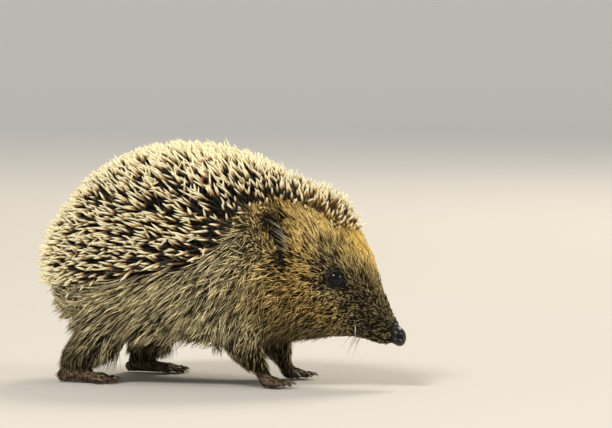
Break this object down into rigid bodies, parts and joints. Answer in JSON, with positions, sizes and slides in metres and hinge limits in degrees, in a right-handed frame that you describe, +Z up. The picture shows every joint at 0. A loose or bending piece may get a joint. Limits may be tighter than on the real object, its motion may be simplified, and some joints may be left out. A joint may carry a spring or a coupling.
{
  "type": "hedgehog",
  "caption": "Still life-size model of a young European hedgehog standing with its nose lowered, spiny mantle over furred flanks, short legs.",
  "frame": {"origin": "on the floor, under the middle of the animal's overall box", "axes": "+X to the nose, +Y to the animal's left, +Z up"},
  "size_m": [0.1358, 0.077, 0.0846],
  "materials": {
    "spines": "stiff cream-tipped spines banded dark brown, satin",
    "flank_fur": "long coarse grey-brown hair with pale buff tips",
    "face_fur": "short tawny hair, dark at the roots",
    "mask_fur": "very short dark brown hair of the snout",
    "leg_fur": "short dark brown hair of the legs",
    "skin": "bare grey-brown skin, fine wrinkles",
    "nose": "moist black pebbled skin",
    "eye": "wet black, glossy"
  },
  "bodies": {
    "root": {"mantle": "spines", "trunk": "flank_fur", "neck": "flank_fur", "head": "face_fur", "snout": "mask_fur", "jaw": "mask_fur", "nose": "nose", "tail": "skin", "eye_left": "eye", "ear_left": "skin", "foreleg_left": "leg_fur", "forepaw_left": "skin", "hind_leg_left": "leg_fur", "hind_foot_left": "skin", "eye_right": "eye", "ear_right": "skin", "foreleg_right": "leg_fur", "forepaw_right": "skin", "hind_leg_right": "leg_fur", "hind_foot_right": "skin"}
  },
  "joints": []
}
